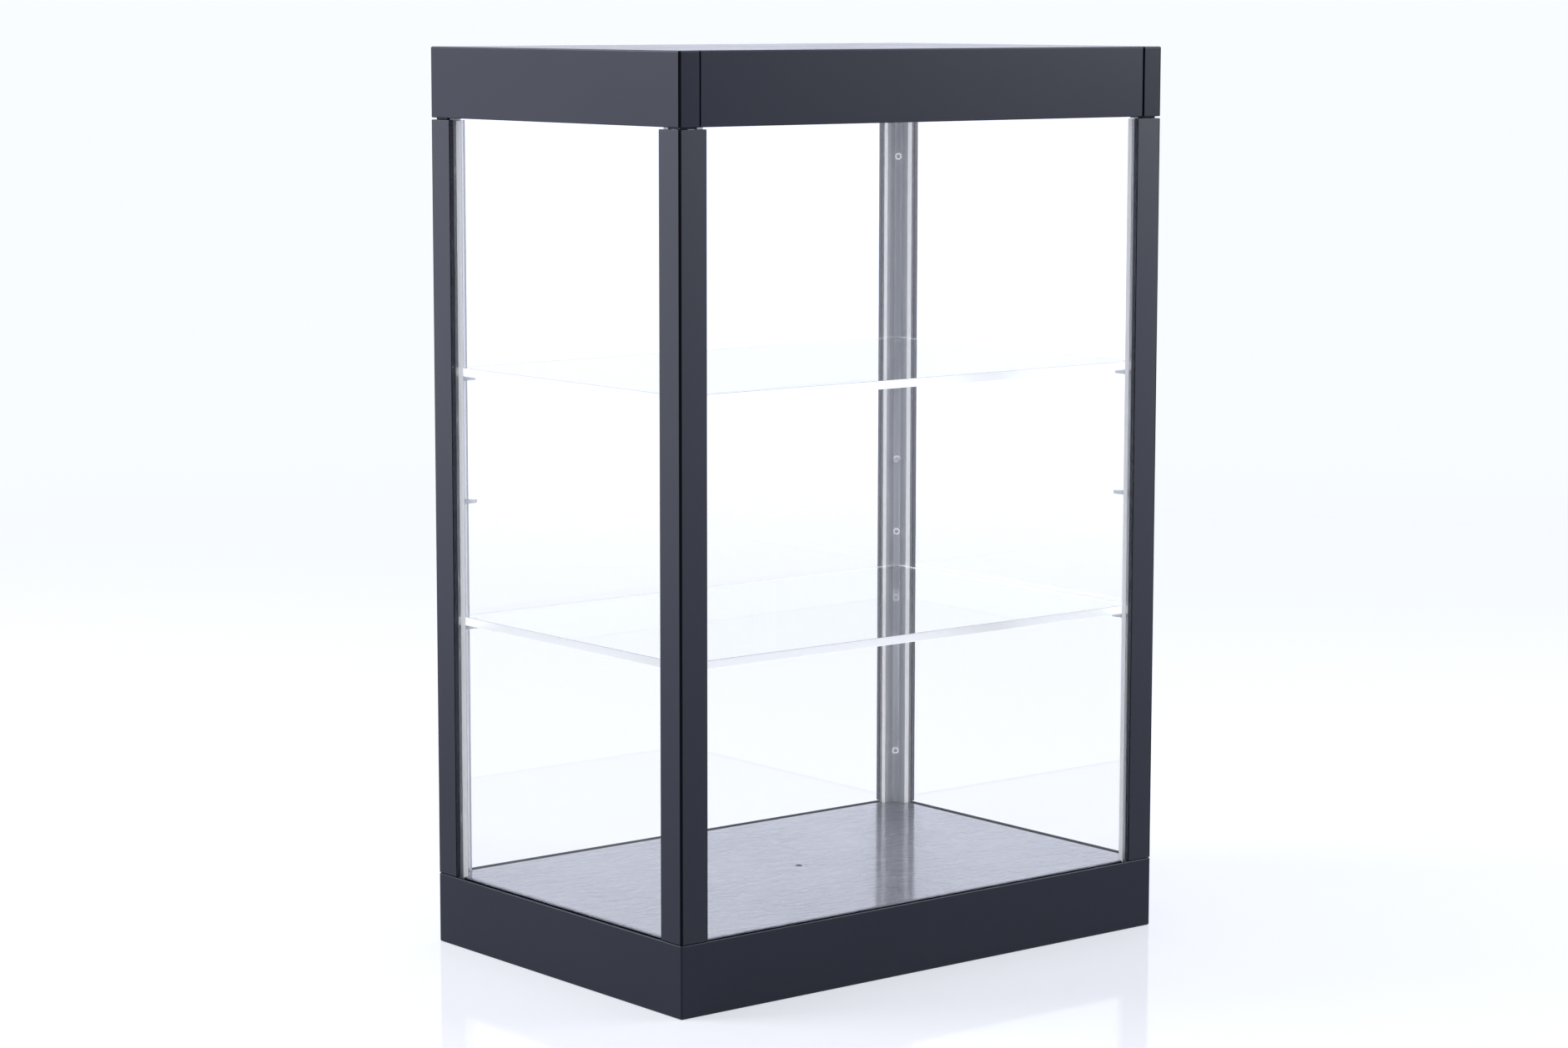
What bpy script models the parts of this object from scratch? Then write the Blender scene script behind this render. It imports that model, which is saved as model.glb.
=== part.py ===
"""A free-standing display case for model cars.

A black plinth and a black header are joined by four L-section posts. A clear strip lines each post
and forms the slots that hold the clear walls. Two clear shelves lie on lugs of the strips, and the
front wall slides up and out, carrying the front plate of the header.

Metres, +Z up. X runs along the long front, Y to the back, and the origin is the middle of the
footprint on the surface that the case stands on.
"""

import math

import bmesh
import bpy
from mathutils import Matrix, Vector

# Driving sizes
CASE_WIDTH = 0.240
CASE_DEPTH = 0.158
CASE_HEIGHT = 0.3544
PLINTH_HEIGHT = 0.0278
HEADER_HEIGHT = 0.0274

# Sizes that several pieces share
WALL = 0.0020
CLEARANCE = 0.0003
PANEL_THICKNESS = 0.0015
FLANGE_WIDTH = 0.0124
CORNER_WIDTH = 0.0092
EDGE_RADIUS = 0.0008
EDGE_STEPS = 4
BRIM_RADIUS = 0.0006
BRIM_STEPS = 3
RIM_RADIUS = 0.0003
RIM_STEPS = 2
PEG_SIDE = 0.0030
PEG_LENGTH = 0.0040
PEG_INSET = 0.0034
STRIP_LEG = 0.0023
FACET_SETBACK = 0.0022
CUT_OVERRUN = 0.0010
WELD_DISTANCE = 0.00001

# Levels and distances that follow from them, counted inwards from the outer faces
FLOOR_Z = PLINTH_HEIGHT
CEILING_Z = CASE_HEIGHT - HEADER_HEIGHT
INNER_HEIGHT = CEILING_Z - FLOOR_Z
HALF_WIDTH = CASE_WIDTH / 2
HALF_DEPTH = CASE_DEPTH / 2
PANEL_OUTER = WALL + CLEARANCE
PANEL_INNER = PANEL_OUTER + PANEL_THICKNESS
SLOT_INNER = PANEL_INNER + CLEARANCE
STRIP_INNER = SLOT_INNER + STRIP_LEG
PANEL_END = CORNER_WIDTH + CLEARANCE

# Corner name, side along X, side along Y, and quarter turns from the front left corner
CORNERS = (
    ("front_left", -1, -1, 0),
    ("front_right", 1, -1, 1),
    ("rear_right", 1, 1, 2),
    ("rear_left", -1, 1, 3),
)

# Looks read from the photograph
BLACK = (0.012, 0.013, 0.016)
BLACK_ROUGHNESS = 0.32
CLEAR = (0.93, 0.95, 0.97)
CLEAR_ROUGHNESS = 0.03
CLEAR_REFRACTION = 1.49
SHARP_ANGLE = math.radians(30)


def start_collections():
    """Empties the scene and adds one collection for the case and one for its cutters."""
    for old in list(bpy.data.objects):
        bpy.data.objects.remove(old)
    made = []
    for name in ("model_car_display_case", "cutters"):
        collection = bpy.data.collections.new(name)
        bpy.context.scene.collection.children.link(collection)
        made.append(collection)
    return made


def add_material(name, colour, roughness, clear=False):
    """Plastic: black and satin, or clear and glossy."""
    material = bpy.data.materials.new(name)
    material.use_nodes = True
    shader = material.node_tree.nodes["Principled BSDF"]
    shader.inputs["Base Color"].default_value = (*colour, 1)
    shader.inputs["Roughness"].default_value = roughness
    shader.inputs["Metallic"].default_value = 0
    if clear:
        shader.inputs["Transmission Weight"].default_value = 1
        shader.inputs["IOR"].default_value = CLEAR_REFRACTION
    return material


def link_object(name, mesh, collection):
    """Puts a mesh into a collection as a new object."""
    placed = bpy.data.objects.new(name, mesh)
    collection.objects.link(placed)
    return placed


def box(name, low, high, collection):
    """A box between two opposite corners."""
    low, high = Vector(low), Vector(high)
    place = Matrix.Translation((low + high) / 2) @ Matrix.Diagonal(high - low).to_4x4()
    work = bmesh.new()
    bmesh.ops.create_cube(work, size=1, matrix=place)
    mesh = bpy.data.meshes.new(name)
    work.to_mesh(mesh)
    work.free()
    return link_object(name, mesh, collection)


def rounded_box(name, low, high, collection, brim_on_top):
    """A box with rounded upright edges, one rounded brim, and a fine rim at its other end."""
    round_profile = 0.5
    block = box(name, low, high, collection)
    work = bmesh.new()
    work.from_mesh(block.data)

    def upright(edge):
        return abs(edge.verts[0].co.z - edge.verts[1].co.z) > WELD_DISTANCE

    def lies_at(level):
        return lambda edge: all(abs(vertex.co.z - level) < WELD_DISTANCE for vertex in edge.verts)

    brim, rim = (high[2], low[2]) if brim_on_top else (low[2], high[2])
    for wanted, radius, steps in ((upright, EDGE_RADIUS, EDGE_STEPS),
                                  (lies_at(brim), BRIM_RADIUS, BRIM_STEPS),
                                  (lies_at(rim), RIM_RADIUS, RIM_STEPS)):
        edges = [edge for edge in work.edges if wanted(edge)]
        bmesh.ops.bevel(work, geom=edges, offset=radius, segments=steps, affect="EDGES",
                        profile=round_profile)
    work.to_mesh(block.data)
    work.free()
    return block


def quarter_arc(centre_x, centre_y, radius, steps, start):
    """Points of a quarter circle, counted in whole quarter turns from its start."""
    angles = [(start + step / steps) * math.pi / 2 for step in range(steps + 1)]
    return [(centre_x + radius * math.cos(angle), centre_y + radius * math.sin(angle))
            for angle in angles]


def extrusion(name, outlines, low, high, collection, turn=None):
    """Closed flat outlines, drawn out along Z from low to high, then turned as a whole."""
    curve = bpy.data.curves.new(name, "CURVE")
    curve.dimensions = "2D"
    curve.fill_mode = "BOTH"
    curve.extrude = (high - low) / 2
    for outline in outlines:
        spline = curve.splines.new("POLY")
        spline.points.add(len(outline) - 1)
        for point, (x, y) in zip(spline.points, outline):
            point.co = (x, y, 0, 1)
        spline.use_cyclic_u = True
    drawn = link_object(name, curve, collection)
    graph = bpy.context.evaluated_depsgraph_get()
    mesh = bpy.data.meshes.new_from_object(drawn.evaluated_get(graph))
    bpy.data.objects.remove(drawn)
    mesh.transform(Matrix.Translation((0, 0, (low + high) / 2)))
    if turn:
        mesh.transform(turn)
    work = bmesh.new()
    work.from_mesh(mesh)
    bmesh.ops.remove_doubles(work, verts=work.verts, dist=WELD_DISTANCE)
    bmesh.ops.recalc_face_normals(work, faces=work.faces)
    work.to_mesh(mesh)
    work.free()
    return link_object(name, mesh, collection)


def frame_ring(name, section, collection):
    """A ring along the outside of the case, with mitred corners.

    The section is a closed outline of points, each an inset from the outer faces and a level.
    """
    work = bmesh.new()
    corners = []
    for _, side_x, side_y, _ in CORNERS:
        places = [(side_x * (HALF_WIDTH - inset), side_y * (HALF_DEPTH - inset), level)
                  for inset, level in section]
        corners.append([work.verts.new(place) for place in places])
    for number, here in enumerate(corners):
        there = corners[(number + 1) % len(corners)]
        for point in range(len(section)):
            after = (point + 1) % len(section)
            work.faces.new((here[point], there[point], there[after], here[after]))
    bmesh.ops.recalc_face_normals(work, faces=work.faces)
    mesh = bpy.data.meshes.new(name)
    work.to_mesh(mesh)
    work.free()
    return link_object(name, mesh, collection)


def combine(target, operand, operation):
    """Adds a Boolean modifier that cuts an operand from a piece, or joins it on."""
    operand.display_type = "WIRE"
    operand.hide_render = True
    modifier = target.modifiers.new(operand.name, "BOOLEAN")
    modifier.operation = operation
    modifier.solver = "EXACT"
    modifier.object = operand


def finished_mesh(shape):
    """The mesh of an object with its modifiers, for pieces that share it."""
    graph = bpy.context.evaluated_depsgraph_get()
    return bpy.data.meshes.new_from_object(shape.evaluated_get(graph))


def corner_matrix(side_x, side_y, turns):
    """Takes a shape drawn at the front left corner to another corner of the case."""
    place = Matrix.Translation((side_x * HALF_WIDTH, side_y * HALF_DEPTH, 0))
    return place @ Matrix.Rotation(turns * math.pi / 2, 4, "Z")


def corner_box(name, low, high, corner, collection):
    """A box given at the front left corner and made at any corner."""
    made = box(name, low, high, collection)
    made.data.transform(corner_matrix(*corner))
    return made


def set_look(piece, material):
    """Gives a piece its material and smooth shading with sharp corners kept."""
    piece.data.materials.clear()
    piece.data.materials.append(material)
    piece.data.shade_smooth()
    piece.data.set_sharp_from_angle(angle=SHARP_ANGLE)


def strip_outline(grow):
    """Section of a clear corner strip, grown by a clearance where it is a pocket.

    A thick corner fills the post's inside, a thin leg covers each panel slot, and a facet cuts
    the inner corner. A pocket is not grown towards the post, where the groove is open already.
    """
    near = PANEL_OUTER
    shoulder = CORNER_WIDTH + grow
    behind_slot = SLOT_INNER - grow
    end = FLANGE_WIDTH + grow
    inner = STRIP_INNER + grow
    facet = STRIP_INNER + FACET_SETBACK + grow
    half = [
        (near, near),
        (shoulder, near),
        (shoulder, behind_slot),
        (end, behind_slot),
        (end, inner),
        (facet, inner),
    ]
    return half + [(y, x) for x, y in reversed(half[1:])]


def make_plinth(case, cutters, material):
    """One moulding, open below: display floor on top, with a groove for the walls all round.

    The groove opens with a slope on the side of the rim, and the floor's edge is broken.
    """
    groove_depth = 0.0030
    lead_in_width = 0.0008
    lead_in_depth = 0.0010
    floor_edge = 0.0004
    foot_depth = 0.0012
    floor_thickness = 0.0030
    rib_thickness = 0.0015
    rib_height = 0.0060
    cross_rib_shares = (-0.5, 0, 0.5)
    ledge_inset = SLOT_INNER + WALL

    plinth = rounded_box("base_plinth", (-HALF_WIDTH, -HALF_DEPTH, 0),
                         (HALF_WIDTH, HALF_DEPTH, FLOOR_Z), case, brim_on_top=False)
    hollows = (
        ("plinth_hollow", WALL, FLOOR_Z - groove_depth - WALL),
        ("plinth_floor_hollow", ledge_inset, FLOOR_Z - floor_thickness),
    )
    for name, inset, top in hollows:
        half_x, half_y = HALF_WIDTH - inset, HALF_DEPTH - inset
        hollow = box(name, (-half_x, -half_y, -CUT_OVERRUN), (half_x, half_y, top), cutters)
        combine(plinth, hollow, "DIFFERENCE")

    rib_low = FLOOR_Z - floor_thickness - rib_height
    rib_high = FLOOR_Z - floor_thickness / 2
    half_rib = rib_thickness / 2
    rib_end_x = HALF_WIDTH - WALL / 2
    rib_end_y = HALF_DEPTH - WALL / 2
    long_rib = box("plinth_rib_long", (-rib_end_x, -half_rib, rib_low),
                   (rib_end_x, half_rib, rib_high), cutters)
    combine(plinth, long_rib, "UNION")
    for number, share in enumerate(cross_rib_shares):
        x = share * HALF_WIDTH
        rib = box(f"plinth_rib_{number}", (x - half_rib, -rib_end_y, rib_low),
                  (x + half_rib, rib_end_y, rib_high), cutters)
        combine(plinth, rib, "UNION")

    lead_in_overrun = CUT_OVERRUN * lead_in_width / lead_in_depth
    groove_section = [
        (WALL, FLOOR_Z - groove_depth),
        (WALL, FLOOR_Z - lead_in_depth),
        (WALL - lead_in_width - lead_in_overrun, FLOOR_Z + CUT_OVERRUN),
        (SLOT_INNER + floor_edge + CUT_OVERRUN, FLOOR_Z + CUT_OVERRUN),
        (SLOT_INNER, FLOOR_Z - floor_edge),
        (SLOT_INNER, FLOOR_Z - groove_depth),
    ]
    combine(plinth, frame_ring("plinth_groove", groove_section, cutters), "DIFFERENCE")

    peg_low = FLOOR_Z - groove_depth - WALL / 2
    peg_high = FLOOR_Z - foot_depth + PEG_LENGTH
    for name, *corner in CORNERS:
        pocket = extrusion(f"foot_pocket_{name}", [strip_outline(CLEARANCE)], FLOOR_Z - foot_depth,
                           FLOOR_Z + CUT_OVERRUN, cutters, corner_matrix(*corner))
        combine(plinth, pocket, "DIFFERENCE")
        peg = corner_box(f"plinth_peg_{name}", (PEG_INSET, PEG_INSET, peg_low),
                         (PEG_INSET + PEG_SIDE, PEG_INSET + PEG_SIDE, peg_high), corner, cutters)
        combine(plinth, peg, "UNION")
    set_look(plinth, material)
    return groove_depth, foot_depth


def make_posts(case, cutters, material, top):
    """Black L-section posts with a rounded outer edge, one at each corner."""
    outline = quarter_arc(EDGE_RADIUS, EDGE_RADIUS, EDGE_RADIUS, EDGE_STEPS, 2) + [
        (FLANGE_WIDTH, 0),
        (FLANGE_WIDTH, WALL),
        (WALL, WALL),
        (WALL, FLANGE_WIDTH),
        (0, FLANGE_WIDTH),
    ]
    pattern = extrusion("post_pattern", [outline], FLOOR_Z + CLEARANCE, top, cutters)
    for name, *corner in CORNERS:
        post = link_object(f"post_{name}", pattern.data.copy(), case)
        post.matrix_world = corner_matrix(*corner)
        set_look(post, material)
    bpy.data.objects.remove(pattern)


def make_strips(case, cutters, material, foot_z, top, lug_levels):
    """Clear corner strips: a socket for a peg at each end, and lugs that point into the case."""
    lug_tip_inset = 0.0122
    lug_root_width = 0.0026
    lug_tip_width = 0.0015
    lug_root_height = 0.0020
    lug_tip_height = 0.0013
    lug_root_depth = 0.0010

    strip = extrusion("strip_pattern", [strip_outline(0)], foot_z, top, cutters)
    socket_low = PEG_INSET - CLEARANCE
    socket_high = PEG_INSET + PEG_SIDE + CLEARANCE
    socket_depth = PEG_LENGTH
    ends = (("foot_socket", foot_z - CUT_OVERRUN, foot_z + socket_depth),
            ("top_socket", top - socket_depth, top + CUT_OVERRUN))
    for name, low, high in ends:
        socket = box(name, (socket_low, socket_low, low), (socket_high, socket_high, high), cutters)
        combine(strip, socket, "DIFFERENCE")

    facet_middle = STRIP_INNER + FACET_SETBACK / 2
    root = facet_middle * math.sqrt(2) - lug_root_depth
    length = lug_tip_inset * math.sqrt(2) - root
    for number, level in enumerate(lug_levels):
        lug = box(f"lug_{number}", (root, -lug_root_width / 2, level - lug_root_height),
                  (root + length, lug_root_width / 2, level), cutters)
        for vertex in lug.data.vertices:
            if vertex.co.x > root + length / 2:
                vertex.co.y *= lug_tip_width / lug_root_width
                vertex.co.z = level + (vertex.co.z - level) * lug_tip_height / lug_root_height
        lug.data.transform(Matrix.Rotation(math.pi / 4, 4, "Z"))
        combine(strip, lug, "UNION")

    shared = finished_mesh(strip)
    for name, *corner in CORNERS:
        copy = link_object(f"strip_{name}", shared.copy(), case)
        copy.matrix_world = corner_matrix(*corner)
        set_look(copy, material)
    bpy.data.objects.remove(strip)


def make_walls(case, material, bottom, header_grip):
    """The three fixed clear walls, held by the slots of the corners, the plinth and the header."""
    top = CEILING_Z + header_grip
    near_x, far_x = HALF_WIDTH - PANEL_INNER, HALF_WIDTH - PANEL_OUTER
    near_y, far_y = HALF_DEPTH - PANEL_INNER, HALF_DEPTH - PANEL_OUTER
    end_x, end_y = HALF_WIDTH - PANEL_END, HALF_DEPTH - PANEL_END
    walls = (
        ("panel_left", (-far_x, -end_y, bottom), (-near_x, end_y, top)),
        ("panel_right", (near_x, -end_y, bottom), (far_x, end_y, top)),
        ("panel_rear", (-end_x, near_y, bottom), (end_x, far_y, top)),
    )
    for name, low, high in walls:
        set_look(box(name, low, high, case), material)


def make_door(case, black, clear, bottom):
    """The front wall and the front plate of the header, which slide up together.

    The plate has a lip over the panel's top edge. The pair is as wide as the gap between the
    header's corners, less its play, and sits towards the left.
    """
    left_play = 0.0005
    right_play = 0.0010
    lip_thickness = 0.0022

    left = -HALF_WIDTH + CORNER_WIDTH + left_play
    right = HALF_WIDTH - CORNER_WIDTH - right_play
    lip_bottom = CASE_HEIGHT - lip_thickness
    panel = box("door_panel", (left, -HALF_DEPTH + PANEL_OUTER, bottom),
                (right, -HALF_DEPTH + PANEL_INNER, lip_bottom - CLEARANCE), case)
    set_look(panel, clear)

    front = -HALF_DEPTH
    brim = quarter_arc(front + BRIM_RADIUS, CASE_HEIGHT - BRIM_RADIUS, BRIM_RADIUS, BRIM_STEPS, 1)
    rim = quarter_arc(front + RIM_RADIUS, CEILING_Z + RIM_RADIUS, RIM_RADIUS, RIM_STEPS, 2)
    section = brim + rim + [
        (front + WALL, CEILING_Z),
        (front + WALL, lip_bottom),
        (front + SLOT_INNER, lip_bottom),
        (front + SLOT_INNER, CASE_HEIGHT),
    ]
    across = Matrix(((0, 0, 1, 0), (1, 0, 0, 0), (0, 1, 0, 0), (0, 0, 0, 1)))
    fascia = extrusion("door_fascia", [section], left, right, case, across)
    set_look(fascia, black)


def make_shelves(case, material, shelves):
    """Loose clear shelves, with corners cut to stay one clearance off the facets of the strips."""
    half_x = HALF_WIDTH - STRIP_INNER - CLEARANCE
    half_y = HALF_DEPTH - STRIP_INNER - CLEARANCE
    corner_cut = FACET_SETBACK - (2 - math.sqrt(2)) * CLEARANCE
    outline = []
    for side_x, side_y, first_is_x in ((-1, -1, True), (1, -1, False), (1, 1, True), (-1, 1, False)):
        along_y = (side_x * half_x, side_y * (half_y - corner_cut))
        along_x = (side_x * (half_x - corner_cut), side_y * half_y)
        outline += [along_y, along_x] if first_is_x else [along_x, along_y]
    for name, bottom, top in shelves:
        set_look(extrusion(name, [outline], bottom, top, case), material)


def make_header(case, cutters, material, neck_height):
    """One moulding with a closed top, open below, and a neck and a peg over each corner."""
    neck_inset = 0.0016
    neck_end = CORNER_WIDTH - CLEARANCE
    fascia_back = SLOT_INNER + CLEARANCE
    hollow_top = CASE_HEIGHT - WALL
    below = CEILING_Z - CUT_OVERRUN
    half_x, half_y = HALF_WIDTH - CORNER_WIDTH, HALF_DEPTH - CORNER_WIDTH

    header = rounded_box("header", (-HALF_WIDTH, -HALF_DEPTH, CEILING_Z),
                         (HALF_WIDTH, HALF_DEPTH, CASE_HEIGHT), case, brim_on_top=True)
    inset = SLOT_INNER + WALL
    slot_x = (HALF_WIDTH - SLOT_INNER, HALF_WIDTH - WALL)
    slot_y = (HALF_DEPTH - SLOT_INNER, HALF_DEPTH - WALL)
    cuts = (
        ("fascia_recess", (-half_x, -HALF_DEPTH - CUT_OVERRUN, below),
         (half_x, -HALF_DEPTH + fascia_back, CASE_HEIGHT + CUT_OVERRUN)),
        ("header_hollow", (-HALF_WIDTH + inset, -HALF_DEPTH + fascia_back + WALL, below),
         (HALF_WIDTH - inset, HALF_DEPTH - inset, hollow_top)),
        ("header_slot_left", (-slot_x[1], -half_y, below), (-slot_x[0], half_y, hollow_top)),
        ("header_slot_right", (slot_x[0], -half_y, below), (slot_x[1], half_y, hollow_top)),
        ("header_slot_rear", (-half_x, slot_y[0], below), (half_x, slot_y[1], hollow_top)),
    )
    for name, low, high in cuts:
        combine(header, box(name, low, high, cutters), "DIFFERENCE")

    neck_low = CEILING_Z - neck_height
    neck_high = CASE_HEIGHT - WALL / 2
    for name, *corner in CORNERS:
        neck = corner_box(f"neck_{name}", (neck_inset, neck_inset, neck_low),
                          (neck_end, neck_end, neck_high), corner, cutters)
        combine(header, neck, "UNION")
        peg = corner_box(f"header_peg_{name}", (PEG_INSET, PEG_INSET, neck_low - PEG_LENGTH),
                         (PEG_INSET + PEG_SIDE, PEG_INSET + PEG_SIDE, neck_high - WALL), corner, cutters)
        combine(header, peg, "UNION")
    set_look(header, material)


def make_case():
    """Builds every piece of the case."""
    neck_height = 0.0007
    header_grip = 0.0080
    shelf_thickness = 0.0033
    lug_level_shares = (0.3415, 0.508, 0.670)

    case, cutters = start_collections()
    black = add_material("satin_black_plastic", BLACK, BLACK_ROUGHNESS)
    clear = add_material("clear_plastic", CLEAR, CLEAR_ROUGHNESS, clear=True)

    groove_depth, foot_depth = make_plinth(case, cutters, black)
    panel_bottom = FLOOR_Z - groove_depth + CLEARANCE
    foot_z = FLOOR_Z - foot_depth + CLEARANCE
    column_top = CEILING_Z - neck_height - CLEARANCE
    shelf_bottoms = [FLOOR_Z + share * INNER_HEIGHT - shelf_thickness / 2 for share in lug_level_shares]
    lug_levels = [bottom - CLEARANCE for bottom in shelf_bottoms]

    make_posts(case, cutters, black, column_top)
    make_strips(case, cutters, clear, foot_z, column_top, lug_levels)
    make_walls(case, clear, panel_bottom, header_grip)
    make_door(case, black, clear, panel_bottom)
    shelves = (
        ("shelf_lower", shelf_bottoms[0], shelf_bottoms[0] + shelf_thickness),
        ("shelf_upper", shelf_bottoms[-1], shelf_bottoms[-1] + shelf_thickness),
    )
    make_shelves(case, clear, shelves)
    make_header(case, cutters, black, neck_height)


make_case()
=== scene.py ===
import math

import bmesh
import bpy
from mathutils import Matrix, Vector


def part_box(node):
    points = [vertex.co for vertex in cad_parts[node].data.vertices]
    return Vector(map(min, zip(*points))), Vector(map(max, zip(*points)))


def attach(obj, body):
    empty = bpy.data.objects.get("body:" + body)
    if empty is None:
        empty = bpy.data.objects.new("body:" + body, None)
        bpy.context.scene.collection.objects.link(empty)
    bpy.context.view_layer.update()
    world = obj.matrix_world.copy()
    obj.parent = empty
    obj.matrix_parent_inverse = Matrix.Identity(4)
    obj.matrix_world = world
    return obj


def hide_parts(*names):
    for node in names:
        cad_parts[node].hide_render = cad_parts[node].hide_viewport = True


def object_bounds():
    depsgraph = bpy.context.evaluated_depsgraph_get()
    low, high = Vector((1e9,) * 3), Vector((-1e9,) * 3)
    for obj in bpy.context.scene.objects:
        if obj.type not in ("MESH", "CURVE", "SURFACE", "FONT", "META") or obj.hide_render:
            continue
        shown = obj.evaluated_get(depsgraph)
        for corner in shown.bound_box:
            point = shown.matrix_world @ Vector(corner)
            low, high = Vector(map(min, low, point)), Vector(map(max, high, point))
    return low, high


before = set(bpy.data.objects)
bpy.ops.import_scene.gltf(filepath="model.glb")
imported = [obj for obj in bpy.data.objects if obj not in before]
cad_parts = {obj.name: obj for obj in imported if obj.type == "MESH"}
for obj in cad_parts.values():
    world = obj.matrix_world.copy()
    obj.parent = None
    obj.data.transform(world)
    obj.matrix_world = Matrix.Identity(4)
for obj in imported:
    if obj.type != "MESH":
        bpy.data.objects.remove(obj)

cad_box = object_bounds()
scene = bpy.context.scene
scene.view_settings.view_transform = "Standard"

# Camera
# It stands in front of the case and to its left, a little above the header, and looks down at it.
camera_place = (-0.97103, -1.18476, 0.37175)
camera_turn_degrees = (82.3524, -0.0710, -39.1124)
camera_lens_mm = 89.371
camera_data = bpy.data.cameras.new("camera")
camera_data.sensor_width = 36
camera_data.lens = camera_lens_mm
camera = bpy.data.objects.new("camera", camera_data)
camera.location = camera_place
camera.rotation_euler = [math.radians(turn) for turn in camera_turn_degrees]
scene.collection.objects.link(camera)
scene.camera = camera

# Studio
# A white background and large soft lamps in a room that is darker on the camera's side. The camera,
# glass and gloss see the background.
background_white = (0.955, 0.982, 1.0)
soft_white = (0.97, 0.98, 1.06)
diffuse_level = 0.41
# What soft light there is inside clear walls, which the lamps don't shine through
inside_level = 1.6
# Where the background lies, and the room from the camera's side (0) round to the background (1)
background_direction = (0.62, 0.78, 0)
room_steps = (
    (0.00, (0.16, 0.17, 0.21)),
    (0.24, (0.22, 0.23, 0.29)),
    (0.38, (0.92, 0.96, 1.14)),
    (0.60, (1.10, 1.14, 1.32)),
    (0.80, (1.12, 1.16, 1.34)),
)


def add_node(tree, kind, **values):
    """A node; a value goes to the input of that name, or else to the node's own setting."""
    node = tree.nodes.new(kind)
    for key, value in values.items():
        if key in node.inputs:
            node.inputs[key].default_value = value
        else:
            setattr(node, key, value)
    return node


world = bpy.data.worlds.new("studio")
world.use_nodes = True
scene.world = world
tree = world.node_tree
tree.nodes.clear()
output = add_node(tree, "ShaderNodeOutputWorld")
path = add_node(tree, "ShaderNodeLightPath")
direction = add_node(tree, "ShaderNodeTexCoord")
towards_rear = add_node(tree, "ShaderNodeVectorMath", operation="DOT_PRODUCT")
towards_rear.inputs[1].default_value = background_direction
tree.links.new(direction.outputs["Generated"], towards_rear.inputs[0])
rear_share = add_node(tree, "ShaderNodeMapRange")
rear_share.inputs["From Min"].default_value = -1.0
tree.links.new(towards_rear.outputs["Value"], rear_share.inputs["Value"])
room = add_node(tree, "ShaderNodeValToRGB")
room.color_ramp.interpolation = "EASE"
for place, colour in room_steps[1:-1]:
    room.color_ramp.elements.new(place)
for element, (place, colour) in zip(room.color_ramp.elements, room_steps):
    element.position = place
    element.color = (*colour, 1)
tree.links.new(rear_share.outputs["Result"], room.inputs["Fac"])
seen_colour = add_node(tree, "ShaderNodeMix", data_type="RGBA")
seen_colour.inputs["B"].default_value = (*background_white, 1)
tree.links.new(path.outputs["Is Camera Ray"], seen_colour.inputs["Factor"])
tree.links.new(room.outputs["Color"], seen_colour.inputs["A"])
camera_or_gloss = add_node(tree, "ShaderNodeMath", operation="ADD")
tree.links.new(path.outputs["Is Camera Ray"], camera_or_gloss.inputs[0])
tree.links.new(path.outputs["Is Glossy Ray"], camera_or_gloss.inputs[1])
seen_kind = add_node(tree, "ShaderNodeMath", operation="ADD", use_clamp=True)
tree.links.new(camera_or_gloss.outputs[0], seen_kind.inputs[0])
tree.links.new(path.outputs["Is Transmission Ray"], seen_kind.inputs[1])
direct = add_node(tree, "ShaderNodeMath", operation="LESS_THAN")
direct.inputs[1].default_value = 0.5
tree.links.new(path.outputs["Diffuse Depth"], direct.inputs[0])
seen = add_node(tree, "ShaderNodeMath", operation="MULTIPLY")
tree.links.new(seen_kind.outputs[0], seen.inputs[0])
tree.links.new(direct.outputs[0], seen.inputs[1])
seen_light = add_node(tree, "ShaderNodeBackground")
tree.links.new(seen_colour.outputs["Result"], seen_light.inputs["Color"])
soft_level = add_node(tree, "ShaderNodeMapRange")
soft_level.inputs["To Min"].default_value = diffuse_level
soft_level.inputs["To Max"].default_value = inside_level
tree.links.new(path.outputs["Is Transmission Ray"], soft_level.inputs["Value"])
soft_light = add_node(tree, "ShaderNodeBackground", Color=(*soft_white, 1))
tree.links.new(soft_level.outputs["Result"], soft_light.inputs["Strength"])
either = add_node(tree, "ShaderNodeMixShader")
tree.links.new(seen.outputs[0], either.inputs["Fac"])
tree.links.new(soft_light.outputs[0], either.inputs[1])
tree.links.new(seen_light.outputs[0], either.inputs[2])
tree.links.new(either.outputs[0], output.inputs["Surface"])

case_middle = Vector((0, 0, (cad_box[0].z + cad_box[1].z) / 2))
for name, place, width, height, watts in (
    ("left_lamp", (-0.95, 0.65, 0.80), 0.7, 0.5, 8),
    ("right_lamp", (0.80, -0.60, 0.60), 0.5, 0.4, 3),
):
    lamp_data = bpy.data.lights.new(name, "AREA")
    lamp_data.shape = "RECTANGLE"
    lamp_data.size = width
    lamp_data.size_y = height
    lamp_data.energy = watts
    lamp = bpy.data.objects.new(name, lamp_data)
    lamp.location = place
    lamp.rotation_euler = (case_middle - Vector(place)).to_track_quat("-Z", "Y").to_euler()
    lamp.visible_camera = False
    lamp.visible_transmission = False
    scene.collection.objects.link(lamp)

# Table
# A glossy white table top, which reflects the foot of the case softly. It fades into the background, so
# that no edge or horizon shows.
table_half = 3.0
table_fade_start = 0.7
table_fade_end = 1.8
table_mirror_share = 0.12
table_mirror_roughness = 0.07
# Its glow for diffuse light and as the camera sees it, and the share of that glow that gloss sees
table_glow_soft = 0.12
table_glow_seen = 0.61
table_gloss_share = 0.05
table_glow_colour = (0.97, 0.99, 1.06)
table_paint = (0.61, 0.625, 0.65)
table_paint_in_gloss = (0.275, 0.29, 0.325)

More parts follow.
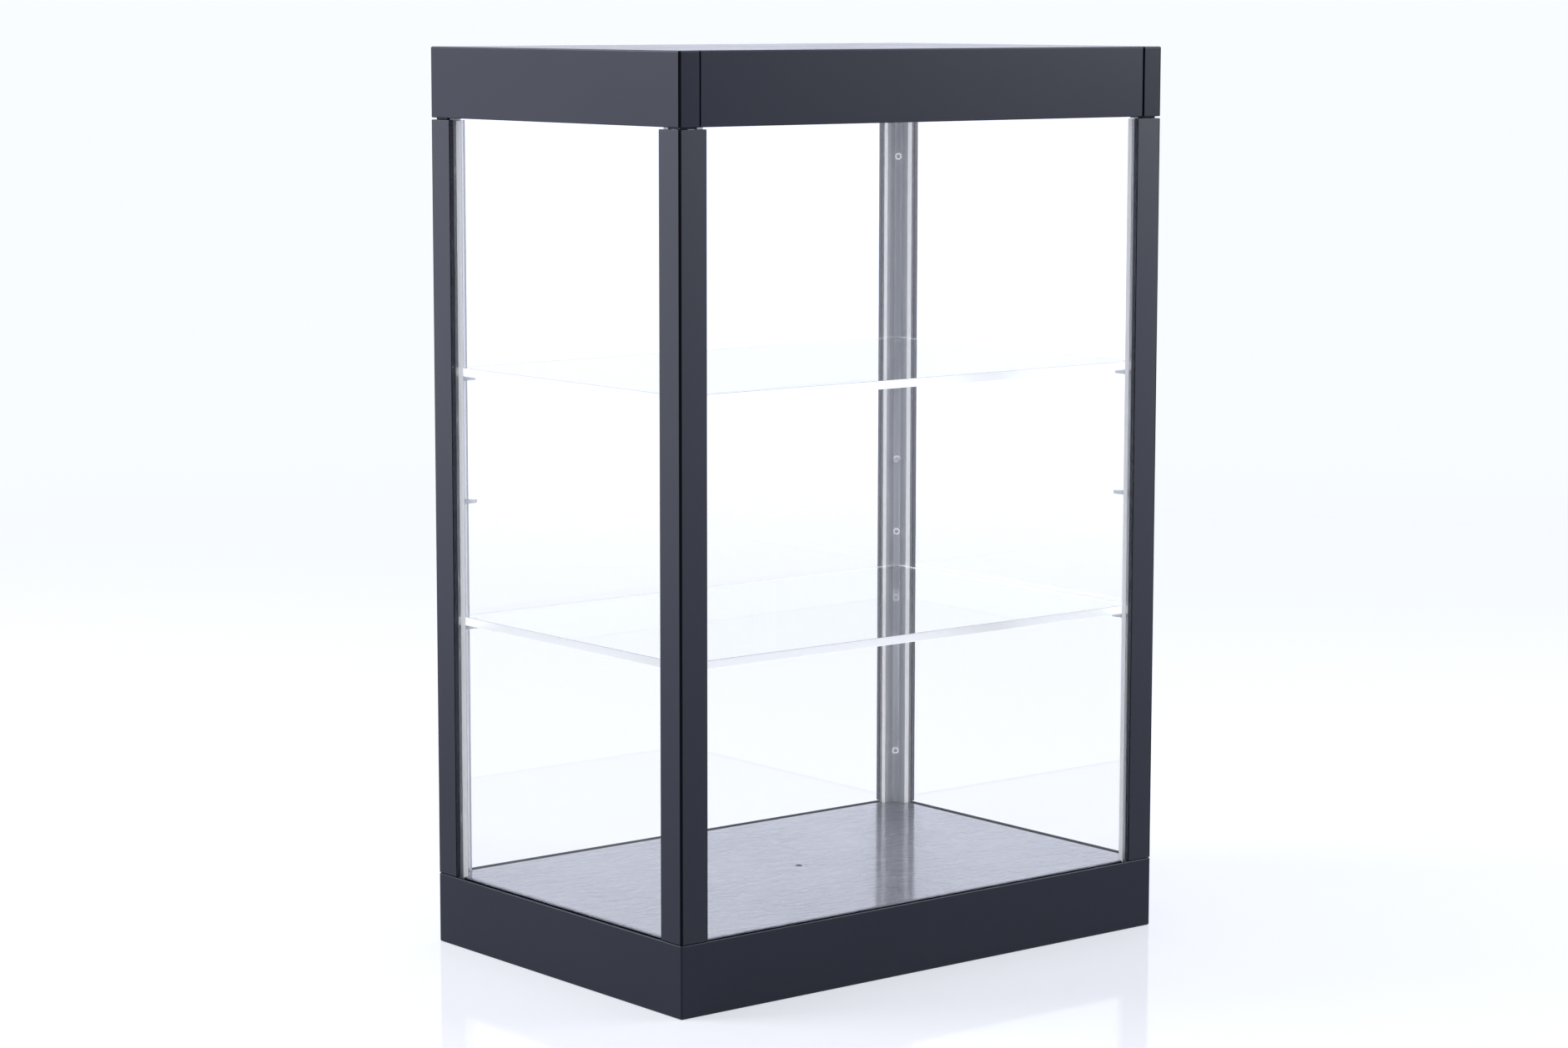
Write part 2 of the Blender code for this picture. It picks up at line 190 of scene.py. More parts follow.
bpy.ops.mesh.primitive_plane_add(size=2 * table_half)
table = bpy.context.object
table.name = "table_top"
material = bpy.data.materials.new("white_table")
material.use_nodes = True
tree = material.node_tree
tree.nodes.clear()
output = add_node(tree, "ShaderNodeOutputMaterial")
path = add_node(tree, "ShaderNodeLightPath")
camera_or_clear = add_node(tree, "ShaderNodeMath", operation="ADD")
tree.links.new(path.outputs["Is Camera Ray"], camera_or_clear.inputs[0])
tree.links.new(path.outputs["Is Transmission Ray"], camera_or_clear.inputs[1])
gloss_share = add_node(tree, "ShaderNodeMath", operation="MULTIPLY")
gloss_share.inputs[1].default_value = table_gloss_share
tree.links.new(path.outputs["Is Glossy Ray"], gloss_share.inputs[0])
seen = add_node(tree, "ShaderNodeMath", operation="ADD", use_clamp=True)
tree.links.new(camera_or_clear.outputs[0], seen.inputs[0])
tree.links.new(gloss_share.outputs[0], seen.inputs[1])
glow = add_node(tree, "ShaderNodeMapRange")
glow.inputs["To Min"].default_value = table_glow_soft
glow.inputs["To Max"].default_value = table_glow_seen
tree.links.new(seen.outputs[0], glow.inputs["Value"])
own_light = add_node(tree, "ShaderNodeEmission", Color=(*table_glow_colour, 1))
tree.links.new(glow.outputs["Result"], own_light.inputs["Strength"])
paint_colour = add_node(tree, "ShaderNodeMix", data_type="RGBA")
paint_colour.inputs["A"].default_value = (*table_paint, 1)
paint_colour.inputs["B"].default_value = (*table_paint_in_gloss, 1)
gloss_alone = add_node(tree, "ShaderNodeMath", operation="SUBTRACT", use_clamp=True)
tree.links.new(path.outputs["Is Glossy Ray"], gloss_alone.inputs[0])
tree.links.new(path.outputs["Is Transmission Ray"], gloss_alone.inputs[1])
tree.links.new(gloss_alone.outputs[0], paint_colour.inputs["Factor"])
paint = add_node(tree, "ShaderNodeBsdfDiffuse")
tree.links.new(paint_colour.outputs["Result"], paint.inputs["Color"])
own_light_and_paint = add_node(tree, "ShaderNodeAddShader")
tree.links.new(own_light.outputs[0], own_light_and_paint.inputs[0])
tree.links.new(paint.outputs[0], own_light_and_paint.inputs[1])
mirror = add_node(tree, "ShaderNodeBsdfGlossy", Roughness=table_mirror_roughness, Color=(1, 1, 1, 1))
glossy_table = add_node(tree, "ShaderNodeMixShader", Fac=table_mirror_share)
tree.links.new(own_light_and_paint.outputs[0], glossy_table.inputs[1])
tree.links.new(mirror.outputs[0], glossy_table.inputs[2])
beyond = add_node(tree, "ShaderNodeBsdfTransparent")
coordinate = add_node(tree, "ShaderNodeTexCoord")
distance = add_node(tree, "ShaderNodeVectorMath", operation="LENGTH")
tree.links.new(coordinate.outputs["Object"], distance.inputs[0])
fade = add_node(tree, "ShaderNodeMapRange", interpolation_type="SMOOTHSTEP")
fade.inputs["From Min"].default_value = table_fade_start
fade.inputs["From Max"].default_value = table_fade_end
tree.links.new(distance.outputs["Value"], fade.inputs["Value"])
faded = add_node(tree, "ShaderNodeMixShader")
tree.links.new(fade.outputs["Result"], faded.inputs["Fac"])
tree.links.new(glossy_table.outputs[0], faded.inputs[1])
tree.links.new(beyond.outputs[0], faded.inputs[2])
tree.links.new(faded.outputs[0], output.inputs["Surface"])
table.data.materials.append(material)

# Base plinth
# One black plastic moulding, open below, with stiffening ribs. Its top is the display floor, with a fine
# drawn grain and the round mark of the moulding gate in the middle, inside a groove for the walls. The
# floor's pale colour is painted reflection, the ring of the gate mark is painted lighter as a highlight,
# and the groove and rim get plain black as painted shade.
black_plastic = (0.009, 0.013, 0.030)
black_edge_radius = 0.00015
weld_distance = 1e-6
flat_within = math.radians(0.5)
sharp_beyond = math.radians(40)


def cad_copy(node):
    """A loose copy of a CAD piece, its triangles merged into flat faces."""
    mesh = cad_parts[node].data.copy()
    mesh.materials.clear()
    if "custom_normal" in mesh.attributes:
        mesh.attributes.remove(mesh.attributes["custom_normal"])
    work = bmesh.new()
    work.from_mesh(mesh)
    bmesh.ops.remove_doubles(work, verts=work.verts, dist=weld_distance)
    bmesh.ops.dissolve_limit(work, angle_limit=flat_within, verts=work.verts, edges=work.edges)
    for edge in work.edges:
        edge.smooth = True
    work.to_mesh(mesh)
    work.free()
    piece = bpy.data.objects.new(node + "_dressed", mesh)
    scene.collection.objects.link(piece)
    return piece


def settle(piece):
    """Turns a piece's modifiers into its own mesh."""
    graph = bpy.context.evaluated_depsgraph_get()
    mesh = bpy.data.meshes.new_from_object(piece.evaluated_get(graph))
    piece.modifiers.clear()
    piece.data = mesh
    return piece


def round_edges(piece, width):
    """Rounds a piece's sharp edges and keeps its flat faces flat."""
    rounding = piece.modifiers.new("edge rounding", "BEVEL")
    rounding.width = width
    rounding.segments = 2
    rounding.limit_method = "ANGLE"
    rounding.angle_limit = sharp_beyond
    rounding.use_clamp_overlap = True
    piece.data.shade_smooth()
    flat = piece.modifiers.new("flat faces", "WEIGHTED_NORMAL")
    flat.keep_sharp = True
    flat.weight = 100
    return settle(piece)


def fasten(piece, node, body):
    """The piece stands for a CAD node, which it hides, and rides on its body."""
    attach(piece, body)
    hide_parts(node)


def make_group(name, inputs, outputs):
    """An empty shader node group with named inputs and outputs."""
    group = bpy.data.node_groups.new(name, "ShaderNodeTree")
    for label, kind, value in inputs:
        socket = group.interface.new_socket(label, in_out="INPUT", socket_type=kind)
        if value is not None:
            socket.default_value = value
    for label, kind in outputs:
        group.interface.new_socket(label, in_out="OUTPUT", socket_type=kind)
    return group, group.nodes.new("NodeGroupInput"), group.nodes.new("NodeGroupOutput")


# Grain of a moulding: its spark-eroded surface, and the slow change of gloss where the plastic flowed
grain_group, entry, exit_ = make_group(
    "moulded grain",
    [("Position", "NodeSocketVector", None), ("Grain Size", "NodeSocketFloat", 0.0002)],
    [("Height", "NodeSocketFloat"), ("Gloss", "NodeSocketFloat")],
)
grain_scale = add_node(grain_group, "ShaderNodeMath", operation="DIVIDE")
grain_scale.inputs[0].default_value = 1.0
grain_group.links.new(entry.outputs["Grain Size"], grain_scale.inputs[1])
grain = add_node(grain_group, "ShaderNodeTexNoise", Detail=3.0, Roughness=0.6)
grain_group.links.new(entry.outputs["Position"], grain.inputs["Vector"])
grain_group.links.new(grain_scale.outputs[0], grain.inputs["Scale"])
grain_group.links.new(grain.outputs["Fac"], exit_.inputs["Height"])
flow = add_node(grain_group, "ShaderNodeTexNoise", Scale=22.0, Detail=2.0, Roughness=0.5)
grain_group.links.new(entry.outputs["Position"], flow.inputs["Vector"])
grain_group.links.new(flow.outputs["Fac"], exit_.inputs["Gloss"])

# Drawn grain of the flat tops: flat dashes along the case, stronger in some patches
dash_turn = 0.12
dash_stretch = (0.5, 1.0, 1)
dash_range = (0.34, 0.68)
patch_range = (0.35, 0.65)
weakest_patch = 0.35
dash_group, entry, exit_ = make_group(
    "drawn grain",
    [("Position", "NodeSocketVector", None)],
    [("Height", "NodeSocketFloat"), ("Shade", "NodeSocketFloat")],
)
stretch = add_node(dash_group, "ShaderNodeMapping")
stretch.inputs["Rotation"].default_value = (0, 0, dash_turn)
stretch.inputs["Scale"].default_value = dash_stretch
dash_group.links.new(entry.outputs["Position"], stretch.inputs["Vector"])
dashes = add_node(dash_group, "ShaderNodeTexNoise", Scale=210.0, Detail=3.0, Roughness=0.6, Distortion=0.8)
dash_group.links.new(stretch.outputs[0], dashes.inputs["Vector"])
dash_shade = add_node(dash_group, "ShaderNodeMapRange")
dash_shade.inputs["From Min"].default_value = dash_range[0]
dash_shade.inputs["From Max"].default_value = dash_range[1]
dash_group.links.new(dashes.outputs["Fac"], dash_shade.inputs["Value"])
patches = add_node(dash_group, "ShaderNodeTexNoise", Scale=30.0, Detail=2.0, Roughness=0.5)
dash_group.links.new(entry.outputs["Position"], patches.inputs["Vector"])
patch_share = add_node(dash_group, "ShaderNodeMapRange")
patch_share.inputs["From Min"].default_value = patch_range[0]
patch_share.inputs["From Max"].default_value = patch_range[1]
patch_share.inputs["To Min"].default_value = weakest_patch
dash_group.links.new(patches.outputs["Fac"], patch_share.inputs["Value"])
patchy = add_node(dash_group, "ShaderNodeMath", operation="MULTIPLY")
dash_group.links.new(dash_shade.outputs["Result"], patchy.inputs[0])
dash_group.links.new(patch_share.outputs["Result"], patchy.inputs[1])
dash_group.links.new(patchy.outputs[0], exit_.inputs["Height"])
dash_group.links.new(patchy.outputs[0], exit_.inputs["Shade"])


def place_group(tree, group, position, **values):
    """A node group in a material, fed with a position."""
    node = tree.nodes.new("ShaderNodeGroup")
    node.node_tree = group
    tree.links.new(position, node.inputs["Position"])
    for key, value in values.items():
        node.inputs[key.replace("_", " ").title()].default_value = value
    return node


def map_values(tree, source, low, high):
    """Stretches a value from 0 to 1 over another range."""
    node = add_node(tree, "ShaderNodeMapRange")
    node.inputs["To Min"].default_value = low
    node.inputs["To Max"].default_value = high
    tree.links.new(source, node.inputs["Value"])
    return node.outputs["Result"]


gloss_swing = 0.05
drawn_roughness = (0.28, 0.48)
drawn_depth = 0.0008


def satin_black(name, roughness, ior):
    """Moulded black plastic with a fine satin grain."""
    material = bpy.data.materials.new(name)
    material.use_nodes = True
    tree = material.node_tree
    shader = tree.nodes["Principled BSDF"]
    shader.inputs["Base Color"].default_value = (*black_plastic, 1)
    shader.inputs["IOR"].default_value = ior
    position = add_node(tree, "ShaderNodeTexCoord").outputs["Object"]
    grain = place_group(tree, grain_group, position, grain_size=0.00022)
    gloss = map_values(tree, grain.outputs["Gloss"], roughness - gloss_swing, roughness + gloss_swing)
    tree.links.new(gloss, shader.inputs["Roughness"])
    bump = add_node(tree, "ShaderNodeBump", Strength=0.5, Distance=0.00002)
    tree.links.new(grain.outputs["Height"], bump.inputs["Height"])
    tree.links.new(bump.outputs["Normal"], shader.inputs["Normal"])
    return material


def drawn_finish(name, coat, dark, pale):
    """A flat top: a clear glossy skin over a soft grain of dashes along the case, whose base colour is
    painted paler along the dashes, as painted highlights of the grain.
    """
    material = bpy.data.materials.new(name)
    material.use_nodes = True
    tree = material.node_tree
    shader = tree.nodes["Principled BSDF"]
    shader.inputs["IOR"].default_value = 1.65
    shader.inputs["Coat Weight"].default_value = coat
    shader.inputs["Coat IOR"].default_value = 1.5
    shader.inputs["Coat Roughness"].default_value = 0.10
    position = add_node(tree, "ShaderNodeTexCoord").outputs["Object"]
    dashes = place_group(tree, dash_group, position)
    shade = add_node(tree, "ShaderNodeMix", data_type="RGBA")
    shade.inputs["A"].default_value = (*dark, 1)
    shade.inputs["B"].default_value = (*pale, 1)
    tree.links.new(dashes.outputs["Shade"], shade.inputs["Factor"])
    tree.links.new(shade.outputs["Result"], shader.inputs["Base Color"])
    gloss = map_values(tree, dashes.outputs["Shade"], *drawn_roughness)
    tree.links.new(gloss, shader.inputs["Roughness"])
    bump = add_node(tree, "ShaderNodeBump", Strength=1.0, Distance=drawn_depth)
    tree.links.new(dashes.outputs["Height"], bump.inputs["Height"])
    tree.links.new(bump.outputs["Normal"], shader.inputs["Normal"])
    return material


# Painted shade: inside the groove, on the rim round it and along the outer corners the plastic is given
# no gloss and plain black, standing in for the shade in the groove and the dark reflections along the
# corners.
painted_shade_black = bpy.data.materials.new("painted_shade_black")
painted_shade_black.use_nodes = True
shader = painted_shade_black.node_tree.nodes["Principled BSDF"]
shader.inputs["Base Color"].default_value = (0.010, 0.010, 0.015, 1)
shader.inputs["Specular IOR Level"].default_value = 0.0
position = add_node(painted_shade_black.node_tree, "ShaderNodeTexCoord").outputs["Object"]
grain = place_group(painted_shade_black.node_tree, grain_group, position, grain_size=0.0003)
roughness = map_values(painted_shade_black.node_tree, grain.outputs["Gloss"], 0.5, 0.7)
painted_shade_black.node_tree.links.new(roughness, shader.inputs["Roughness"])


# How far the normal of a corner face turns from both sides at least, and up or down at most
corner_least_turn = 0.15
corner_most_tilt = 0.5


def paint_corner_shade(piece, index):
    """Paints shade on the rounded upright corners of a piece, by giving them another of its finishes."""
    for face in piece.data.polygons:
        along_x, along_y, upwards = (abs(value) for value in face.normal)
        if min(along_x, along_y) > corner_least_turn and upwards < corner_most_tilt:
            face.material_index = index


plinth = cad_copy("base_plinth")
plinth_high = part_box("base_plinth")[1]
floor_level = 0.0278
floor_inset = 0.0040
floor_tolerance = 0.0006
groove_depth = 0.0032
rim_edge = 0.00025
faces_up = 0.3
gate_ring = 0.0033
gate_dip = 0.00012
gate_brim = 0.3 * gate_dip
gate_hole = 0.0014
gate_depth = 0.0006
gate_overrun = 0.0002
gate_steps = 48
least_area = 1e-12

# The gate mark: a small hole where the sprue was cut off, in a shallow dished ring
profile = [
    (gate_ring + gate_overrun * 5, floor_level + gate_overrun),
    (gate_ring, floor_level - gate_dip * 0.1),
    (gate_ring * 0.86, floor_level - gate_dip),
    (gate_ring * 0.70, floor_level - gate_brim),
    (gate_hole, floor_level - gate_brim),
    (gate_hole * 0.9, floor_level - gate_depth),
    (0, floor_level - gate_depth),
    (0, floor_level + gate_overrun),
]
work = bmesh.new()
points = [work.verts.new((x, 0, z)) for x, z in profile]
edges = [work.edges.new(pair) for pair in zip(points, points[1:] + points[:1])]
bmesh.ops.spin(
    work,
    geom=points + edges,
    cent=(0, 0, 0),
    axis=(0, 0, 1),
    angle=math.tau,
    steps=gate_steps,
    use_merge=True,
)
bmesh.ops.remove_doubles(work, verts=work.verts, dist=weld_distance)
loose = [face for face in work.faces if face.calc_area() < least_area]
bmesh.ops.delete(work, geom=loose, context="FACES")
bmesh.ops.recalc_face_normals(work, faces=work.faces)
gate_mesh = bpy.data.meshes.new("gate_cutter")
work.to_mesh(gate_mesh)
work.free()
gate = bpy.data.objects.new("gate_cutter", gate_mesh)
scene.collection.objects.link(gate)
cut = plinth.modifiers.new("gate mark", "BOOLEAN")
cut.object = gate
settle(plinth)
bpy.data.objects.remove(gate)
round_edges(plinth, black_edge_radius)


def give_finishes(piece, *finishes):
    """Replaces a piece's finishes; its faces choose among them by their order."""
    piece.data.materials.clear()
    for finish in finishes:
        piece.data.materials.append(finish)


plinth_finish = satin_black("plinth_satin_black", roughness=0.36, ior=1.55)
# The floor is black plastic: its pale base colours are painted reflection of the bright background at a low
# angle, laid over the real grain, bump and glossy skin.
floor_grain_and_painted_sheen = drawn_finish(
    "display_floor_black_painted_sheen", coat=1.0, dark=(0.060, 0.072, 0.110), pale=(0.300, 0.315, 0.370)
)
# The ring round the gate hole is painted paler, a painted highlight of its shallow dish.
gate_ring_highlight = drawn_finish(
    "gate_ring_painted_highlight", coat=0.6, dark=(0.30, 0.31, 0.36), pale=(0.42, 0.43, 0.47)
)
give_finishes(plinth, plinth_finish, floor_grain_and_painted_sheen, painted_shade_black, gate_ring_highlight)
# The faces choose their finish: the ring round the gate hole gets its painted highlight, the floor its
# painted reflection, and the groove with the rim's top down into it the painted shade black.
for face in plinth.data.polygons:
    corners = [plinth.data.vertices[index].co for index in face.vertices]
    from_edge = min(min(plinth_high.x - abs(corner.x), plinth_high.y - abs(corner.y)) for corner in corners)
    from_gate = math.hypot(face.center.x, face.center.y)
    near_floor_level = abs(face.center.z - floor_level) < floor_tolerance
    if face.normal.z > faces_up and gate_hole < from_gate < gate_ring:
        face.material_index = 3
    elif face.normal.z > faces_up and near_floor_level and from_edge > floor_inset:
        face.material_index = 1
    elif face.center.z > floor_level - groove_depth and from_edge > rim_edge:
        face.material_index = 2
fasten(plinth, "base_plinth", "case_frame")

# Corner posts
# Four black plastic L-section mouldings with a rounded outer edge, one round each corner. They stand on
# the plinth's rim, flush with it, clip over the clear strips and reach up to the header's necks.
post_finish = satin_black("post_satin_black", roughness=0.36, ior=1.63)
post_edge_radius = 0.0002
neck_reach = 0.00025
level_tolerance = 1e-5
case_corners = ("front_left", "front_right", "rear_left", "rear_right")
for corner in case_corners:
    post = cad_copy(f"post_{corner}")
    post_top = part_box(f"post_{corner}")[1].z
    for vertex in post.data.vertices:
        if post_top - vertex.co.z < level_tolerance:
            vertex.co.z += neck_reach
    round_edges(post, post_edge_radius)
    give_finishes(post, post_finish, painted_shade_black)
    # The rounded outer corner gets the plain black of painted shade.
    paint_corner_shade(post, 1)
    fasten(post, f"post_{corner}", "case_frame")

# Clear corner strips
# Four injection mouldings of clear plastic, one plugged in behind each post, with three lugs each for
# shelves. The facet that faces into the case keeps the ring marks of the ejector pins.
clear_ior = 1.49

# Flow lines of clear plastic, drawn out along its height
flow_stretch = (1, 1, 0.06)
flow_group, entry, exit_ = make_group(
    "flow lines",
    [("Position", "NodeSocketVector", None)],
    [("Flow", "NodeSocketFloat")],
)
stretch = add_node(flow_group, "ShaderNodeMapping")
stretch.inputs["Scale"].default_value = flow_stretch
flow_group.links.new(entry.outputs["Position"], stretch.inputs["Vector"])
flow = add_node(flow_group, "ShaderNodeTexNoise", Scale=420.0, Detail=2.0)
flow_group.links.new(stretch.outputs[0], flow.inputs["Vector"])
flow_group.links.new(flow.outputs["Fac"], exit_.inputs["Flow"])


def clear_plastic(name, tint, clearness, roughness, flow_depth):
    """Clear plastic with a slight haze and flow lines."""
    material = bpy.data.materials.new(name)
    material.use_nodes = True
    tree = material.node_tree
    shader = tree.nodes["Principled BSDF"]
    shader.inputs["Base Color"].default_value = (*tint, 1)
    shader.inputs["Transmission Weight"].default_value = clearness
    shader.inputs["IOR"].default_value = clear_ior
    position = add_node(tree, "ShaderNodeTexCoord").outputs["Object"]
    flow = place_group(tree, flow_group, position)
    haze = map_values(tree, flow.outputs["Flow"], *roughness)
    tree.links.new(haze, shader.inputs["Roughness"])
    bump = add_node(tree, "ShaderNodeBump", Strength=0.5, Distance=flow_depth)
    tree.links.new(flow.outputs["Flow"], bump.inputs["Height"])
    tree.links.new(bump.outputs["Normal"], shader.inputs["Normal"])
    return material


# Light that has bounced more often than this inside a sheet is guided along it
guided_bounces = 1.5


def guide_light(material):
    """Lets light that the sheet has guided along inside it pass on, instead of losing it."""
    tree = material.node_tree
    path = add_node(tree, "ShaderNodeLightPath")
    guided = add_node(tree, "ShaderNodeMath", operation="GREATER_THAN")
    guided.inputs[1].default_value = guided_bounces
    tree.links.new(path.outputs["Glossy Depth"], guided.inputs[0])
    passing = add_node(tree, "ShaderNodeBsdfTransparent")
    either = add_node(tree, "ShaderNodeMixShader")
    tree.links.new(guided.outputs[0], either.inputs["Fac"])
    tree.links.new(tree.nodes["Principled BSDF"].outputs[0], either.inputs[1])
    tree.links.new(passing.outputs[0], either.inputs[2])
    tree.links.new(either.outputs[0], tree.nodes["Material Output"].inputs["Surface"])


def paint_edge_glow(material, colour, strength):
    """Paints a faint glow into an edge through its own emission, standing in for the light that clear
    plastic guides out there.
    """
    shader = material.node_tree.nodes["Principled BSDF"]
    shader.inputs["Emission Color"].default_value = (*colour, 1)
    shader.inputs["Emission Strength"].default_value = strength


towards_post = clear_plastic(
    "strip_towards_post", (0.98, 0.98, 1.0), clearness=1.0, roughness=(0.02, 0.06), flow_depth=0.00001
)
towards_case = clear_plastic(
    "strip_towards_case", (0.93, 0.95, 1.0), clearness=0.5, roughness=(0.15, 0.25), flow_depth=0.00002
)
# The ends of the legs are nearly opaque white with a faint painted glow, which stands in for the bright
# background they scatter.
leg_end = clear_plastic(
    "strip_leg_end", (1.0, 1.0, 1.0), clearness=0.1, roughness=(0.3, 0.5), flow_depth=0.00002
)
paint_edge_glow(leg_end, (0.94, 0.96, 1.0), 0.20)
facet = clear_plastic(
    "strip_facet", (0.92, 0.95, 1.0), clearness=0.55, roughness=(0.3, 0.4), flow_depth=0.00002
)
strip_edge_radius = 0.0002
# The strips reach this far in from the case's outer faces, and face into the case beyond that far
strip_reach = 0.0124
strip_case_side = 0.0060
reach_tolerance = 0.0003
# How far a normal points along an axis on a face square to it, and on a facet that slants at 45 degrees
square_on = 0.9
slant_least, slant_most = 0.6, 0.8
for corner in case_corners:
    strip = round_edges(cad_copy(f"strip_{corner}"), strip_edge_radius)
    give_finishes(strip, towards_post, towards_case, leg_end, facet)
    for face in strip.data.polygons:
        depths = [cad_box[1][axis] - abs(face.center[axis]) for axis in (0, 1)]
        turns = [abs(face.normal[axis]) for axis in (0, 1)]
        at_end = [
            turn > square_on and abs(depth - strip_reach) < reach_tolerance
            for depth, turn in zip(depths, turns)
        ]
        slants = all(slant_least < turn < slant_most for turn in turns)
        if any(at_end):
            face.material_index = 2
        elif slants and min(depths) > strip_case_side:
            face.material_index = 3
        else:
            face.material_index = int(min(depths) > strip_case_side)
    fasten(strip, f"strip_{corner}", "case_frame")

# Ejector marks
# Fine raised rings on the inner facets of the clear strips, moulded on in the same clear plastic, where
# the pins of the mould pushed the strips out. They are drawn opaque white with a faint painted glow,
# which stands in for the light the clear rings catch.
mark_radius = 0.00115
mark_bead = 0.00028
mark_inset = 0.0075
mark_level_shares = (0.075, 0.297, 0.395, 0.500, 0.607, 0.932)
ceiling_level = 0.3270

tree = bpy.data.node_groups.new("ejector marks", "GeometryNodeTree")
for label, kind, value in (
    ("Geometry", "NodeSocketGeometry", None),
    ("Ring Radius", "NodeSocketFloat", mark_radius),
    ("Bead Radius", "NodeSocketFloat", mark_bead),
    ("Finish", "NodeSocketMaterial", None),
):
    socket = tree.interface.new_socket(label, in_out="INPUT", socket_type=kind)
    if value is not None:
        socket.default_value = value
tree.interface.new_socket("Geometry", in_out="OUTPUT", socket_type="NodeSocketGeometry")
entry = tree.nodes.new("NodeGroupInput")
exit_ = tree.nodes.new("NodeGroupOutput")
ring = add_node(tree, "GeometryNodeCurvePrimitiveCircle", Resolution=32)
tree.links.new(entry.outputs["Ring Radius"], ring.inputs["Radius"])
bead = add_node(tree, "GeometryNodeCurvePrimitiveCircle", Resolution=8)
tree.links.new(entry.outputs["Bead Radius"], bead.inputs["Radius"])
swept = add_node(tree, "GeometryNodeCurveToMesh")
tree.links.new(ring.outputs["Curve"], swept.inputs["Curve"])
tree.links.new(bead.outputs["Curve"], swept.inputs["Profile Curve"])
facing = add_node(tree, "GeometryNodeInputNamedAttribute", data_type="FLOAT_VECTOR", Name="facing")
turned = add_node(tree, "FunctionNodeAlignRotationToVector", axis="Z")
tree.links.new(facing.outputs["Attribute"], turned.inputs["Vector"])
placed = add_node(tree, "GeometryNodeInstanceOnPoints")
tree.links.new(entry.outputs["Geometry"], placed.inputs["Points"])
tree.links.new(swept.outputs["Mesh"], placed.inputs["Instance"])
tree.links.new(turned.outputs["Rotation"], placed.inputs["Rotation"])
realized = add_node(tree, "GeometryNodeRealizeInstances")
tree.links.new(placed.outputs["Instances"], realized.inputs["Geometry"])
finished = add_node(tree, "GeometryNodeSetMaterial")
tree.links.new(realized.outputs["Geometry"], finished.inputs["Geometry"])
tree.links.new(entry.outputs["Finish"], finished.inputs["Material"])
tree.links.new(finished.outputs["Geometry"], exit_.inputs["Geometry"])

mark_finish = clear_plastic(
    "ejector_ring", (1.0, 1.0, 1.0), clearness=0.0, roughness=(0.1, 0.2), flow_depth=0.00001
)
paint_edge_glow(mark_finish, (0.97, 0.98, 1.0), 0.32)
mesh = bpy.data.meshes.new("ejector_marks")
mark_x = cad_box[1].x - mark_inset
mark_y = cad_box[1].y - mark_inset
places = []
facings = []
for side_x in (-1, 1):
    for side_y in (-1, 1):
        for share in mark_level_shares:
            level = floor_level + share * (ceiling_level - floor_level)
            places.append((side_x * mark_x, side_y * mark_y, level))
            facings.append((-side_x, -side_y, 0))
mesh.from_pydata(places, [], [])
mesh.attributes.new("facing", "FLOAT_VECTOR", "POINT")
for item, value in zip(mesh.attributes["facing"].data, facings):
    item.vector = value
marks = bpy.data.objects.new("ejector_marks", mesh)
scene.collection.objects.link(marks)
modifier = marks.modifiers.new("ejector marks", "NODES")
modifier.node_group = tree
sockets = {item.name: item.identifier for item in tree.interface.items_tree if item.in_out == "INPUT"}
modifier[sockets["Finish"]] = mark_finish
settle(marks)
marks.data.shade_smooth()
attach(marks, "case_frame")

# Clear walls
# Cut from clear sheet, with sawn edges that look white, and held by their edges in the slots of the
# corners, the plinth and the header. The front one belongs to the door.
wall_finish = clear_plastic(
    "clear_sheet", (0.995, 0.998, 1.0), clearness=1.0, roughness=(0.0, 0.01), flow_depth=0.000001
)
sawn_edge = clear_plastic(
    "sawn_sheet_edge", (0.93, 0.96, 1.0), clearness=0.0, roughness=(0.3, 0.4), flow_depth=0.00002
)
slot_scuffs = clear_plastic(
    "scuffed_in_the_slot", (0.97, 0.98, 1.0), clearness=0.3, roughness=(0.2, 0.4), flow_depth=0.00002
)
guide_light(wall_finish)
guide_light(slot_scuffs)
wall_edge_radius = 0.00015
walls = (
    ("panel_left", "case_frame", 0),
    ("panel_right", "case_frame", 0),
    ("panel_rear", "case_frame", 1),
    ("door_panel", "front_door", 1),
)
for node, body, thin_axis in walls:
    wall = cad_copy(node)
    wide_axis = 1 - thin_axis
    mouth = cad_box[1][wide_axis] - strip_reach
    work = bmesh.new()
    work.from_mesh(wall.data)
    for side in (-1, 1):
        place, across = Vector((0, 0, 0)), Vector((0, 0, 0))
        place[wide_axis], across[wide_axis] = side * mouth, side
        everything = work.verts[:] + work.edges[:] + work.faces[:]
        bmesh.ops.bisect_plane(work, geom=everything, plane_co=place, plane_no=across)
    work.to_mesh(wall.data)
    work.free()
    round_edges(wall, wall_edge_radius)
    give_finishes(wall, wall_finish, sawn_edge, slot_scuffs)
    for face in wall.data.polygons:
        broad = abs(face.normal[thin_axis]) > square_on
        outward = face.normal[thin_axis] * face.center[thin_axis] > 0
        if not broad and abs(face.normal.z) < square_on:
            face.material_index = 1
        elif broad and outward and abs(face.center[wide_axis]) > mouth:
            face.material_index = 2
    fasten(wall, node, body)
